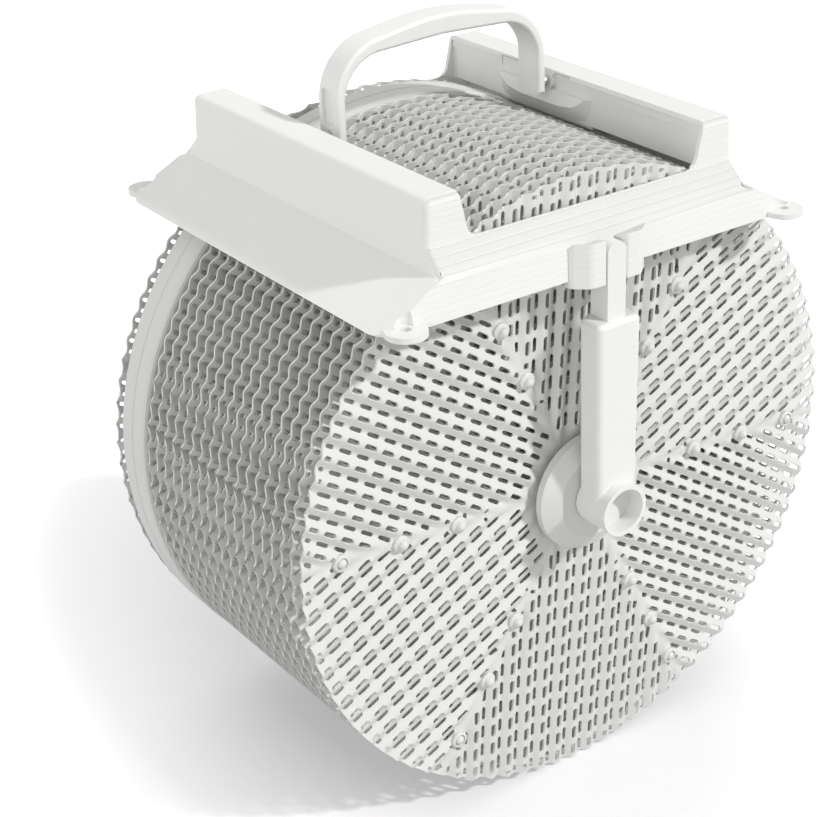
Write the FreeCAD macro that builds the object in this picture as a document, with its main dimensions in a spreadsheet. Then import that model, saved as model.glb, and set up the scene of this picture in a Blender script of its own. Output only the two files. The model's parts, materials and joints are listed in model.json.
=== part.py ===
"""A rotating disc pack under a saddle frame with a carry handle.

A pack of corrugated, slotted discs and a two-part wheel turn on one axle.  The axle hangs in two
hangers that clip to a saddle frame, and the frame has four screw ears and a folding handle.
Lengths are millimetres.  The origin is the middle of the four ears, on their underside.
X runs across the frame, Y along the axle from front to rear, Z up.
"""

import FreeCAD
import Part

import math
import os
import re

import Sketcher
from FreeCAD import Placement, Rotation, Vector

os.makedirs("parts", exist_ok=True)
doc = FreeCAD.newDocument("disc_pack")
sheet = doc.addObject("Spreadsheet::Sheet", "Sizes")

FRONT_DISCS = 18
REAR_STEP = 21
FIRST_SECTOR = 30

# Each size is a plain number and stands here once.
SIZES = {
    # drum
    "axis_drop": 110.0,
    "disc_radius": 149.0,
    "disc_pitch": 7.68,
    "front_disc": 88.6,
    "rest_turn": -3.5,
    "wave_pitch": 10.0,
    "wave_rise": 1.1,
    "sheet_thick": 0.9,
    "seam_thick": 1.8,
    "seam_half": 2.6,
    "seam_inset": 1.6,
    "disc_hub": 27.0,
    "stud_radius": 2.4,
    "stud_base": 4.0,
    "stud_foot": 1.3,
    "stud_inner": 69.0,
    "stud_step": 30.5,
    "stud_tall": 3.9,
    "stud_low": 2.4,
    "stud_rear": 0.4,
    "core_radius": 14.0,
    "core_half": 94.0,
    "collar_radius": 18.0,
    "slide_gap": 0.1,
    # axle, flanges and bushes
    "axle_radius": 6.0,
    "axle_half": 109.4,
    "run_gap": 0.05,
    "flange_radius": 28.2,
    "flange_back": 93.0,
    "flange_rim": 96.6,
    "flange_thick": 2.0,
    "flange_neck": 20.5,
    "flange_front": 101.0,
    "stack_end": 92.74,
    "bush_radius": 10.0,
    "bush_long": 8.3,
    # wheel
    "wheel_radius": 149.3,
    "wheel_front": 45.5,
    "wheel_half": 11.0,
    "wheel_rim": 9.0,
    "wheel_web": 2.0,
    "wheel_groove": 0.6,
    "wheel_edge": 1.8,
    "wheel_hub": 22.0,
    "screw_radius": 1.5,
    "screw_head": 3.0,
    "screw_head_tall": 2.0,
    # saddle frame
    "wall": 2.0,
    "drum_gap": 0.6,
    "front_room": 1.2,
    "skirt_half_x": 114.5,
    "skirt_half_y": 105.5,
    "skirt_round": 11.0,
    "crest": 17.0,
    "crest_half_x": 84.0,
    "crest_half_y": 102.0,
    "rail_half_y": 92.4,
    "rail_top": 47.0,
    "rail_top_half_x": 82.5,
    "rail_inner": 66.2,
    "window_edge": 26.5,
    "window_half": 61.5,
    "window_corner": 6.5,
    "lip_tall": 6.0,
    "lip_skin": 1.0,
    "notch_front": -1.6,
    "notch_rear": 50.0,
    "ear_x": 103.5,
    "ear_y": 106.0,
    "ear_radius": 9.0,
    "ear_thick": 2.5,
    "ear_hole": 2.2,
    "niche_radius": 4.6,
    # hangers and their clips
    "tongue_half": 5.0,
    "tongue_front": 112.5,
    "tongue_back": 101.5,
    "tongue_top": 14.5,
    "clip_half": 13.5,
    "clip_foot": 20.5,
    "clip_low": -3.0,
    "clip_gap": 0.1,
    "arm_half_top": 12.0,
    "arm_half_low": 11.0,
    "arm_front": 115.5,
    "arm_top": -20.0,
    "arm_round": 3.0,
    "cup_radius": 12.2,
    "cup_front": 120.5,
    "cup_wall": 2.0,
    "cup_deep": 8.7,
    # handle
    "handle_y": 14.2,
    "handle_deep": 16.0,
    "handle_out": 58.3,
    "handle_in": 53.5,
    "handle_foot": 38.2,
    "handle_corner": 79.0,
    "handle_apex": 88.0,
    "grip_corner": 75.0,
    "grip_apex": 77.4,
    "handle_round": 27.0,
    "grip_round": 20.0,
    "apex_round": 120.0,
    "flute_deep": 1.9,
    "flute_wide": 9.0,
    "flute_top": 62.0,
    "pivot_z": 41.5,
    "pivot_radius": 2.5,
    "pin_hold": 8.0,
    "boss_radius": 4.8,
    "pad_y": 18.0,
    "pad_half": 34.0,
    "pad_bulge": 7.5,
    "pad_lean": 1.4,
    "pad_low": 24.0,
    "pad_top": 38.2,
}
for row, (alias, value) in enumerate(SIZES.items(), start=1):
    sheet.set(f"A{row}", alias)
    sheet.set(f"B{row}", str(value))
    sheet.setAlias(f"B{row}", alias)
doc.recompute()

nodes = {}

# How a sketch lies when it is drawn as seen from the front, from the side and from the top.
VIEWS = {
    "front": Rotation(Vector(1, 0, 0), 90),
    "side": Rotation(Vector(1, 1, 1), 120),
    "top": Rotation(),
}
DEPTH = {"front": "y", "side": "x", "top": "z"}
SIDES = (-1, 1)


def size(alias):
    """The sheet's value of one size."""
    return float(getattr(sheet, alias))


def formula(text):
    """A formula of size names, written the way the sheet's readers need it."""
    return re.sub(r"\b(" + "|".join(SIZES) + r")\b", r"Sizes.\1", text)


def number(text):
    """The present value of a formula of size names."""
    return float(sheet.evalExpression(formula(text)))


def bind(obj, path, text):
    """Drive one property of an object by a formula of size names."""
    obj.setExpression(path, formula(text))


def keep(obj, name):
    """Make an object one of the named sub-parts."""
    obj.Label = name
    nodes[name] = obj
    return obj


def draw(made, corners):
    """Close an outline of straight sides whose corners follow the sheet."""
    at = [Vector(number(a), number(b), 0) for a, b in corners]
    count = len(at)
    for i in range(count):
        made.addGeometry(Part.LineSegment(at[i], at[(i + 1) % count]), False)
    for i in range(count):
        made.addConstraint(Sketcher.Constraint("Coincident", i, 2, (i + 1) % count, 1))
    for i, pair in enumerate(corners):
        for kind, text, value in zip(("DistanceX", "DistanceY"), pair, at[i]):
            index = made.addConstraint(Sketcher.Constraint(kind, -1, 1, i, 1, value))
            bind(made, f"Constraints[{index}]", text)


def outline(name, view, corners, depth):
    """A closed outline in one view, at one depth."""
    profile = doc.addObject("Sketcher::SketchObject", name + "_outline")
    profile.Placement = Placement(Vector(), VIEWS[view])
    bind(profile, "Placement.Base." + DEPTH[view], depth)
    draw(profile, corners)
    return profile


def prism(name, view, corners, half, middle="0"):
    """A prism with its outline in one view; it reaches half to both sides of its middle."""
    made = doc.addObject("Part::Extrusion", name)
    made.Base = outline(name, view, corners, middle)
    made.DirMode = "Normal"
    made.Solid = True
    made.Symmetric = True
    bind(made, "LengthFwd", f"2 * ({half})")
    return made


def turned(name, corners):
    """A body turned about the drum axis; corners are radius and place along the axis."""
    made = doc.addObject("PartDesign::Body", name)
    bind(made, "Placement.Base.z", "-axis_drop")
    profile = made.newObject("Sketcher::SketchObject", name + "_outline")
    origin = [f for f in made.Origin.OriginFeatures if f.Role == "XY_Plane"]
    profile.AttachmentSupport = [(origin[0], "")]
    profile.MapMode = "FlatFace"
    draw(profile, corners)
    spin = made.newObject("PartDesign::Revolution", name + "_turn")
    spin.Profile = profile
    spin.ReferenceAxis = (profile, ["V_Axis"])
    spin.Angle = 360
    return made


def rod(name, radius, start, end, at, along):
    """A round rod from start to end along one axis; at gives its two other places."""
    made = doc.addObject("Part::Cylinder", name)
    towards = {"x": Vector(1, 0, 0), "y": Vector(0, 1, 0), "z": Vector(0, 0, 1)}[along]
    made.Placement = Placement(Vector(), Rotation(Vector(0, 0, 1), towards))
    bind(made, "Radius", radius)
    bind(made, "Height", f"({end}) - ({start})")
    places = dict(zip([c for c in "xyz" if c != along], at))
    places[along] = start
    for letter, text in places.items():
        bind(made, "Placement.Base." + letter, text)
    return made


def union(name, pieces):
    """Several pieces moulded as one."""
    made = doc.addObject("Part::MultiFuse", name)
    made.Shapes = pieces
    made.Refine = True
    return made


def overlap(name, pieces):
    """What several pieces have in common."""
    made = doc.addObject("Part::MultiCommon", name)
    made.Shapes = pieces
    return made


def less(name, base, tools):
    """A piece with other pieces cut out of it."""
    made = doc.addObject("Part::Cut", name)
    made.Base = base
    made.Tool = tools[0] if len(tools) == 1 else union(name + "_tools", tools)
    made.Refine = True
    return made


def rounded(name, base, choices):
    """Round the edges that each test picks, with that test's radius."""
    doc.recompute()
    made = doc.addObject("Part::Fillet", name)
    made.Base = base
    picked = []
    for index, edge in enumerate(base.Shape.Edges, start=1):
        for test, radius in choices:
            if test(edge):
                picked.append((index, radius, radius))
                break
    made.Edges = picked
    return made


def runs_along(edge, letter):
    """Whether a straight edge runs along one axis."""
    if edge.Curve.TypeId != "Part::GeomLine":
        return False
    return abs(getattr(edge.tangentAt(edge.FirstParameter), letter)) > 0.999


def mirror_pair(text, side):
    """A place on the right side or its twin on the left."""
    return text if side > 0 else f"-({text})"


def frame():
    """The moulded saddle frame: a thin shell with rails, skirts, clips, pads and ears."""
    def shell_side(grow, low):
        across = [
            (f"skirt_half_x - {grow} * 2", low),
            (f"crest_half_x - {grow}", f"crest - {grow} / 2"),
            (f"rail_top_half_x - {grow}", f"rail_top - {grow}"),
        ]
        along = [
            (f"skirt_half_y - {grow}", low),
            (f"crest_half_y - {grow}", f"crest - {grow} / 2"),
            (f"rail_half_y - {grow}", f"window_edge - {grow} / 2"),
            (f"rail_half_y - {grow}", f"rail_top - {grow}"),
        ]
        tag = "outer" if grow == "0" else "inner"
        made = []
        runs = (("front", "skirt_half_y + 20", across), ("side", "skirt_half_x + 20", along))
        for view, half, line in runs:
            left = [(f"-({a})", b) for a, b in reversed(line)]
            made.append(prism(f"frame_{tag}_{view}", view, line + left, half))
        far_x, far_y = f"skirt_half_x - {grow} * 2", f"skirt_half_y - {grow}"
        plan = [(far_x, far_y), (f"-({far_x})", far_y)]
        plan += [(f"-({far_x})", f"-({far_y})"), (far_x, f"-({far_y})")]
        block = prism(f"frame_{tag}_plan", "top", plan, "rail_top + 20")
        upright = lambda e: runs_along(e, "z")
        made.append(rounded(f"frame_{tag}_corners", block, [(upright, number(f"skirt_round - {grow}"))]))
        return overlap("frame_" + tag, made)

    outer = shell_side("0", "0")
    inner = shell_side("wall", "-1")
    pieces = [less("frame_shell", outer, [inner])]
    cuts = []
    for side in SIDES:
        tag = "right" if side > 0 else "left"
        lip = [
            (mirror_pair("rail_inner", side), "rail_top - lip_tall"),
            (mirror_pair("rail_inner + wall", side), "rail_top - lip_tall"),
            (mirror_pair("rail_inner + wall", side), "rail_top"),
            (mirror_pair("rail_inner", side), "rail_top"),
        ]
        pieces.append(prism(f"{tag}_lip", "front", lip, "rail_half_y"))
        pieces.append(pad(tag, side))
        ends = [mirror_pair("handle_out + clip_gap * 3", side), mirror_pair("rail_inner + wall", side)]
        start, end = ends if side > 0 else ends[::-1]
        pieces.append(rod(f"{tag}_pivot_boss", "boss_radius", start, end, ("handle_y", "pivot_z"), "x"))
        hole_end = mirror_pair("handle_out + pin_hold", side)
        start, end = (ends[0] + " - 1", hole_end) if side > 0 else (hole_end, ends[0] + " + 1")
        cuts.append(rod(f"{tag}_pivot_hole", "pivot_radius", start, end, ("handle_y", "pivot_z"), "x"))
        near, far = mirror_pair("rail_inner - 1", side), mirror_pair("rail_inner + wall", side)
        low, high = "rail_top - lip_tall - 1", "rail_top - lip_skin"
        for part, first, last in (("front", "notch_front", "handle_y - boss_radius"),
                                  ("rear", "handle_y + boss_radius", "notch_rear")):
            notch = [(near, first), (far, first), (far, last), (near, last)]
            half, middle = f"({high} - ({low})) / 2", f"({high} + {low}) / 2"
            cuts.append(prism(f"{tag}_{part}_notch", "top", notch, half, middle))
    for end in SIDES:
        place = "front" if end < 0 else "rear"
        for side in SIDES:
            tag = f"{place}_{'right' if side > 0 else 'left'}"
            pieces.append(cheek(tag, side, end))
            at = (mirror_pair("ear_x", side), mirror_pair("ear_y", end))
            pieces.append(rod(f"{tag}_ear", "ear_radius", "0", "ear_thick", at, "z"))
            around = rod(f"{tag}_niche_wall", "niche_radius + wall", "0", "rail_top", at, "z")
            pieces.append(overlap(f"{tag}_niche_block", [outer, around]))
            cuts.append(rod(f"{tag}_niche", "niche_radius", "ear_thick", "rail_top", at, "z"))
            cuts.append(rod(f"{tag}_ear_hole", "ear_hole", "-1", "ear_thick + 1", at, "z"))
    window = [
        ("window_half", "window_edge"),
        ("rail_inner", "rail_top"),
        ("rail_inner", "rail_top + 1"),
        ("-rail_inner", "rail_top + 1"),
        ("-rail_inner", "rail_top"),
        ("-window_half", "window_edge"),
    ]
    opening = prism("frame_window", "front", window, "skirt_half_y")
    corner = lambda e: runs_along(e, "y") and abs(e.CenterOfMass.z - size("window_edge")) < 0.1
    cuts.append(rounded("frame_window_round", opening, [(corner, size("window_corner"))]))
    room = "rail_half_y - front_room"
    cuts.append(rod("drum_room", "wheel_radius + drum_gap", f"-({room})", room, ("0", "-axis_drop"), "y"))
    keep(less("saddle", union("frame_solid", pieces), cuts), "saddle_frame")


def pad(tag, side):
    """The bulged pad inside a rail, below a foot of the handle; it fades into the wall below."""
    edges = []
    for place, bulge, height in (("top", "pad_bulge", "pad_top"), ("low", "0", "pad_low")):
        lean = "0" if place == "top" else "pad_lean"
        line = [("crest_half_x - wall / 2", -1)]
        for step in (-1, -0.9, -0.7, -0.4, 0, 0.4, 0.7, 0.9, 1):
            line.append((f"rail_inner + {lean} - {bulge} * {1 - step**4:.4f}", step))
        line.append(("crest_half_x - wall / 2", 1))
        corners = [(mirror_pair(x, side), f"pad_y + pad_half * {y}") for x, y in line]
        edges.append(outline(f"{tag}_pad_{place}", "top", corners, height))
    made = doc.addObject("Part::Loft", f"{tag}_pad")
    made.Sections = edges
    made.Solid = True
    made.Ruled = True
    return made


def cheek(tag, side, end):
    """One of the two cheeks that a hanger's tongue slides between."""
    line = [
        ("tongue_half + clip_gap", "crest_half_y - wall / 2"),
        ("tongue_half + clip_gap", "tongue_front"),
        ("clip_half", "tongue_front"),
        ("clip_foot", "skirt_half_y + 1"),
        ("clip_foot", "crest_half_y - wall / 2"),
    ]
    corners = [(mirror_pair(x, side), mirror_pair(y, end)) for x, y in line]
    return prism(f"{tag}_cheek", "top", corners, "(crest - clip_low) / 2", "(crest + clip_low) / 2")


def hanger(place, end):
    """A hanger: a box arm with a tongue for the clips above and a bearing cup below."""
    box = [
        ("arm_half_low", "-axis_drop"),
        ("arm_half_top", "arm_top"),
        ("-arm_half_top", "arm_top"),
        ("-arm_half_low", "-axis_drop"),
    ]
    deep = "(arm_front - tongue_back) / 2"
    middle = mirror_pair("(arm_front + tongue_back) / 2", end)
    arm = prism(f"{place}_arm", "front", box, deep, middle)
    long_edge = lambda e: abs(e.tangentAt(e.FirstParameter).z) > 0.99
    arm = rounded(f"{place}_arm_round", arm, [(long_edge, size("arm_round"))])
    tongue = [
        ("tongue_front", "arm_top - arm_round"),
        ("tongue_front", "tongue_top"),
        ("crest_half_y + clip_gap * 8", "tongue_top"),
        ("skirt_half_y + clip_gap * 2", "0"),
        ("skirt_half_y + clip_gap * 2", "clip_low / 4"),
        ("tongue_back", "clip_low / 4"),
        ("tongue_back", "arm_top - arm_round"),
    ]
    tongue = [(mirror_pair(y, end), z) for y, z in tongue]
    blade = prism(f"{place}_tongue", "side", tongue, "tongue_half")
    top = lambda e: runs_along(e, "y") and abs(e.CenterOfMass.z - size("tongue_top")) < 0.1
    blade = rounded(f"{place}_tongue_round", blade, [(top, size("tongue_half") * 0.8)])
    def stretch(first, last):
        return (first, last) if end > 0 else (f"-({last})", f"-({first})")
    axis = ("0", "-axis_drop")
    cup = rod(f"{place}_cup", "cup_radius", *stretch("tongue_back", "cup_front"), axis, "y")
    joined = union(f"{place}_hanger_solid", [arm, blade, cup])
    hollow = stretch("cup_front - cup_deep", "cup_front + 1")
    mouth = rod(f"{place}_mouth", "cup_radius - cup_wall", *hollow, axis, "y")
    hollow = stretch("tongue_back - 1", "tongue_back + bush_long")
    seat = rod(f"{place}_seat", "bush_radius", *hollow, axis, "y")
    keep(less(f"{place}_hanger_cut", joined, [mouth, seat]), f"{place}_hanger")


def turned_pair(name, corners):
    """The same turned piece at the front end and, mirrored, at the rear end."""
    for place, sign in (("front", "-"), ("rear", "")):
        line = [(r, f"{sign}({y})") for r, y in corners]
        keep(turned(f"{place}_{name}_body", line), f"{place}_{name}")


def drum_core():
    """Axle, its tube, the bushes, the end flanges and the two spacers behind the wheel."""
    keep(turned("axle_body", [
        ("0", "-axle_half"), ("axle_radius - 1", "-axle_half"), ("axle_radius", "1 - axle_half"),
        ("axle_radius", "axle_half - 1"), ("axle_radius - 1", "axle_half"), ("0", "axle_half")]), "axle")
    keep(turned("core_body", [
        ("axle_radius", "-core_half"), ("core_radius", "-core_half"),
        ("core_radius", "core_half"), ("axle_radius", "core_half")]), "core_tube")
    turned_pair("bush", [
        ("axle_radius + run_gap", "tongue_back"), ("bush_radius", "tongue_back"),
        ("bush_radius", "tongue_back + bush_long"), ("axle_radius + run_gap", "tongue_back + bush_long")])
    turned_pair("flange", [
        ("axle_radius", "core_half"), ("axle_radius", "flange_front"), ("flange_neck", "flange_front"),
        ("flange_radius", "flange_rim"), ("flange_radius", "flange_back"),
        ("flange_radius - flange_thick", "flange_back"),
        ("flange_radius - flange_thick", "flange_rim - flange_thick / 2"),
        ("collar_radius + flange_thick", "flange_front - flange_thick"),
        ("collar_radius + flange_thick", "stack_end"),
        ("core_radius", "stack_end"), ("core_radius", "core_half")])
    ring = lambda start, end: [
        ("core_radius + slide_gap", start), ("collar_radius", start),
        ("collar_radius", end), ("core_radius + slide_gap", end)]
    first, last = collar_reach()
    rear_disc = f"(disc_pitch * {REAR_STEP} - front_disc)"
    spacer = ring("wheel_front + 2 * wheel_half", f"{rear_disc} - {first}")
    keep(turned("spacer_body", spacer), "wheel_spacer")
    keep(turned("sleeve_body", ring(f"{rear_disc} + {last}", "stack_end")), "rear_sleeve")


def collar_reach():
    """How far a disc's collar reaches to the front and to the rear of its middle."""
    last = f"(wheel_front + front_disc - disc_pitch * {FRONT_DISCS - 1})"
    return f"(disc_pitch - {last})", last


def around(shape, degrees):
    """A copy turned about the drum axis, counter-clockwise as seen from the front."""
    made = shape.copy()
    made.rotate(Vector(), Vector(0, -1, 0), degrees)
    return made


def axle_ring(radius, start, end):
    """A plain solid cylinder on the Y axis."""
    return Part.makeCylinder(radius, end - start, Vector(0, start, 0), Vector(0, 1, 0))


def wave_sheet():
    """A corrugated sheet with its ridges along X, made of tangent arcs."""
    rise = size("wave_rise")
    quarter = size("wave_pitch") / 4
    bend = (quarter**2 + rise**2) / (2 * rise)
    lean = math.asin(quarter / bend)
    half = size("sheet_thick") / 2
    count = int(size("disc_radius") / 2 / (2 * quarter)) + 1

    def face_line(offset):
        line = []
        for k in range(-count, count + 1):
            way = 1 if k % 2 == 0 else -1
            middle = 2 * quarter * k
            ends = []
            for step in (-1, 1):
                across = middle + step * quarter + step * way * offset * math.sin(lean)
                ends.append(Vector(0, offset * math.cos(lean), across))
            top = Vector(0, way * rise + offset, middle)
            line.append(Part.Arc(ends[0], top, ends[1]).toShape())
        return line

    front = face_line(-half)
    rear = face_line(half)
    left = Part.makeLine(front[0].Vertexes[0].Point, rear[0].Vertexes[0].Point)
    right = Part.makeLine(front[-1].Vertexes[-1].Point, rear[-1].Vertexes[-1].Point)
    wire = Part.Wire(Part.__sortEdges__(front + rear + [left, right]))
    return Part.Face(wire).extrude(Vector(size("disc_radius") + 1, 0, 0))


def sector_region():
    """The part of the disc plane that one corrugated sector fills, as a thick block."""
    start = size("seam_inset") / math.sin(math.radians(30))
    reach = size("disc_radius") + 1
    half = reach * math.tan(math.radians(30))
    corners = [Vector(start, -5, 0), Vector(start + reach, -5, half), Vector(start + reach, -5, -half)]
    wedge = Part.Face(Part.makePolygon(corners + corners[:1])).extrude(Vector(0, 10, 0))
    disc = axle_ring(size("disc_radius"), -5, 5).cut(axle_ring(size("disc_hub") - 1, -6, 6))
    return wedge.common(disc)


def stud_shape(half, tall):
    """A stud through a seam: a round foot with a ball-ended pin that stands tall over the seam."""
    front = Vector(0, -1, 0)
    start = half + size("stud_rear")
    foot = Part.makeCylinder(size("stud_base"), start + half + size("stud_foot"), Vector(0, start, 0), front)
    radius = size("stud_radius")
    ball = half + tall - radius
    pin = Part.makeCylinder(radius, start + ball, Vector(0, start, 0), front)
    return foot.multiFuse([pin, Part.makeSphere(radius, Vector(0, -ball, 0))])


def disc_shape():
    """One disc: six corrugated sectors, six flat seams with studs, and a hub with its collar."""
    radius = size("disc_radius")
    half = size("seam_thick") / 2
    sector = wave_sheet().common(sector_region())
    pieces = [axle_ring(size("disc_hub"), -half, half)]
    first, last = (number(text) for text in collar_reach())
    pieces.append(axle_ring(size("collar_radius"), -first, last))
    width = size("seam_half")
    web = Part.makeBox(radius, 2 * half, 2 * width, Vector(0, -half, -width)).common(axle_ring(radius, -5, 5))
    for turn in range(0, 360, 60):
        pieces.append(around(sector, turn))
        pieces.append(around(web, turn + 30))
        for step in range(3):
            stud = stud_shape(half, size("stud_low" if step == 2 else "stud_tall"))
            stud.translate(Vector(size("stud_inner") + step * size("stud_step"), 0, 0))
            pieces.append(around(stud, turn + 30))
    solid = pieces[0].multiFuse(pieces[1:])
    return solid.cut(axle_ring(size("core_radius") + size("slide_gap"), -20, 20)).removeSplitter()


def discs():
    """The front pack of like discs and one more behind the wheel."""
    shape = disc_shape()
    steps = list(range(FRONT_DISCS)) + [REAR_STEP]
    for count, step in enumerate(steps, start=1):
        name = f"disc_{count:02d}"
        made = doc.addObject("Part::Feature", name + "_sheet")
        made.Shape = shape
        made.Placement = Placement(Vector(), Rotation(Vector(0, -1, 0), FIRST_SECTOR + size("rest_turn")))
        bind(made, "Placement.Base.y", f"disc_pitch * {step} - front_disc")
        bind(made, "Placement.Base.z", "-axis_drop")
        keep(made, name)


def wheel():
    """The two halves of the wheel and the screws that hold them together."""
    holes = {"front": [], "rear": []}
    screws = []
    seam = "wheel_front + wheel_half"
    rear_face = "wheel_front + 2 * wheel_half"
    for turn in range(6):
        angle = math.radians(60 * turn + 30 + size("rest_turn"))
        at = [(f"(wheel_radius - wheel_rim / 2) * {f(angle):.9f}") for f in (math.cos, math.sin)]
        at = (at[0], at[1] + " - axis_drop")
        tag = f"screw_{turn + 1}"
        floor = "wheel_front + wheel_web"
        holes["front"].append(rod(tag + "_thread", "screw_radius", floor, seam, at, "y"))
        holes["rear"].append(rod(tag + "_way", "screw_radius + slide_gap", seam, rear_face, at, "y"))
        under = f"{rear_face} - screw_head_tall"
        sink = rod(tag + "_sink", "screw_head + slide_gap", under, rear_face, at, "y")
        holes["rear"].append(sink)
        shank = rod(tag + "_shank", "screw_radius", floor, rear_face, at, "y")
        head = rod(tag + "_head", "screw_head", under, rear_face, at, "y")
        screws.append(union(tag, [shank, head]))
    group = doc.addObject("Part::Compound", "screw_group")
    group.Links = screws
    keep(group, "wheel_screws")
    for place, sign, base in (("front", "", "wheel_front"), ("rear", "-", rear_face)):
        at = lambda depth: f"{base} + {sign}({depth})" if sign else f"{base} + {depth}"
        line = [
            ("core_radius + slide_gap", at("0")),
            ("wheel_radius - wheel_edge", at("0")),
            ("wheel_radius - wheel_edge * 0.3", at("wheel_edge * 0.3")),
            ("wheel_radius", at("wheel_edge")),
            ("wheel_radius", at("wheel_half - wheel_groove")),
            ("wheel_radius - wheel_groove", at("wheel_half")),
            ("wheel_radius - wheel_rim", at("wheel_half")),
            ("wheel_radius - wheel_rim", at("wheel_web")),
            ("wheel_hub", at("wheel_web")),
            ("wheel_hub", at("wheel_half")),
            ("core_radius + slide_gap", at("wheel_half")),
        ]
        blank = turned(f"wheel_{place}_blank", line)
        keep(less(f"wheel_{place}_cut", blank, holes[place]), f"wheel_{place}_half")


def handle():
    """The folding handle and the two pins that it swings on."""
    right = [
        ("handle_out", "handle_foot"), ("handle_out", "handle_corner"), ("0", "handle_apex"),
        ("-handle_out", "handle_corner"), ("-handle_out", "handle_foot"), ("-handle_in", "handle_foot"),
        ("-handle_in", "grip_corner"), ("0", "grip_apex"), ("handle_in", "grip_corner"),
        ("handle_in", "handle_foot"),
    ]
    bail = prism("handle_bail", "front", right, "handle_deep / 2", "handle_y")

    def corner_at(x, z):
        return lambda e: (runs_along(e, "y") and abs(abs(e.CenterOfMass.x) - size(x)) < 0.1
                          and abs(e.CenterOfMass.z - size(z)) < 0.1)

    top = lambda e: runs_along(e, "y") and abs(e.CenterOfMass.x) < 0.1
    bail = rounded("handle_bail_round", bail, [
        (corner_at("handle_out", "handle_corner"), size("handle_round")),
        (corner_at("handle_in", "grip_corner"), size("grip_round")),
        (top, size("apex_round"))])
    cuts = []
    pins = []
    for side in SIDES:
        tag = "right" if side > 0 else "left"
        flute = [
            (mirror_pair("handle_out - flute_deep", side), "handle_y - flute_wide / 2"),
            (mirror_pair("handle_out + 1", side), "handle_y - flute_wide / 2"),
            (mirror_pair("handle_out + 1", side), "handle_y + flute_wide / 2"),
            (mirror_pair("handle_out - flute_deep", side), "handle_y + flute_wide / 2"),
        ]
        low = "pivot_z + boss_radius"
        half, middle = f"(flute_top - ({low})) / 2", f"(flute_top + {low}) / 2"
        cuts.append(prism(f"{tag}_flute", "top", flute, half, middle))
        inner = mirror_pair("handle_in + 1", side)
        outer = mirror_pair("handle_out + 1", side)
        start, end = (inner, outer) if side > 0 else (outer, inner)
        at = ("handle_y", "pivot_z")
        cuts.append(rod(f"{tag}_pin_hole", "pivot_radius + run_gap", start, end, at, "x"))
        inner = mirror_pair("handle_in + 1 + clip_gap", side)
        outer = mirror_pair("handle_out + pin_hold", side)
        start, end = (inner, outer) if side > 0 else (outer, inner)
        pins.append(rod(f"{tag}_pin", "pivot_radius", start, end, at, "x"))
    keep(less("handle_cut", bail, cuts), "carry_handle")
    for pin, place in zip(pins, ("left", "right")):
        keep(pin, f"{place}_handle_pin")


def main():
    """Build every sub-part, look each one over and write its file."""
    frame()
    hanger("front", -1)
    hanger("rear", 1)
    drum_core()
    wheel()
    discs()
    handle()
    doc.recompute()
    for obj in doc.Objects:
        if {"Invalid", "Error"} & set(obj.State):
            raise RuntimeError(f"{obj.Label} did not build: {obj.State}")
    for name, obj in nodes.items():
        if obj.Shape.isNull() or not obj.Shape.isValid():
            raise RuntimeError(f"{name} has no sound shape")
        obj.Shape.exportStep(f"parts/{name}.step")


main()
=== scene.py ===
"""Looks, stage and camera for the rotating disc filter pack."""

import json
import math

import bmesh
import bpy
from mathutils import Matrix, Vector


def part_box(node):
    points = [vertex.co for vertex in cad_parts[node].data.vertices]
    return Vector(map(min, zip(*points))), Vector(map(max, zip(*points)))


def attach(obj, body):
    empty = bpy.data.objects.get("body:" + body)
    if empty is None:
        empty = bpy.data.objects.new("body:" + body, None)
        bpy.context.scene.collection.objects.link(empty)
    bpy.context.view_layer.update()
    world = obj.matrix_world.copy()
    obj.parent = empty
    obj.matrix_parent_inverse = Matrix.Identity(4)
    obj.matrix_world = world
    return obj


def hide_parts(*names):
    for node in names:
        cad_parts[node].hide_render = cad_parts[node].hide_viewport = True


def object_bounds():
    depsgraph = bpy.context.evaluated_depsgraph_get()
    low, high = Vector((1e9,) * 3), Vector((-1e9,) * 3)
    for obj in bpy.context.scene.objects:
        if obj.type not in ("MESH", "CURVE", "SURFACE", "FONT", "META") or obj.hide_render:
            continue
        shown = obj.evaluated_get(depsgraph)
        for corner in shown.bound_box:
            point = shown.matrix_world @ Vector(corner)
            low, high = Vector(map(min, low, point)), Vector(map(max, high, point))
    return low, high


bl_info = {
    "name": "Disc filter pack",
    "version": (1, 0, 0),
    "blender": (4, 5, 0),
    "location": "3D View > Sidebar > Disc filter",
    "description": "Slotted discs, saddle frame, hangers, handle and wheel of a rotating disc filter",
    "category": "Object",
}

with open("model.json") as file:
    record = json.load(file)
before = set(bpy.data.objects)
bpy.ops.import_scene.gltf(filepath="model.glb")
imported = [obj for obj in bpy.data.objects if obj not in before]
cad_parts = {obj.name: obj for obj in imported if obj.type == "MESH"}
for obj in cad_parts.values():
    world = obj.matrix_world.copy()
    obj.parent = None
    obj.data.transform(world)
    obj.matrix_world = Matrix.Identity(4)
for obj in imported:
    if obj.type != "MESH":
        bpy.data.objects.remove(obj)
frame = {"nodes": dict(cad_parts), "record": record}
nodes = frame["nodes"]
CAD_BOX = [list(corner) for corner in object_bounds()]
SPIN = next(j for j in frame["record"]["behaviour"]["joints"] if j["name"] == "drum_spin")
AXIS = Vector(SPIN["pos_m"])
HANDLE_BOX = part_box("carry_handle")
MM = 0.001
SECTORS = 6
SECTOR_TURN = 2 * math.pi / SECTORS
SECTOR_SLOPE = math.sqrt(3)


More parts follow.
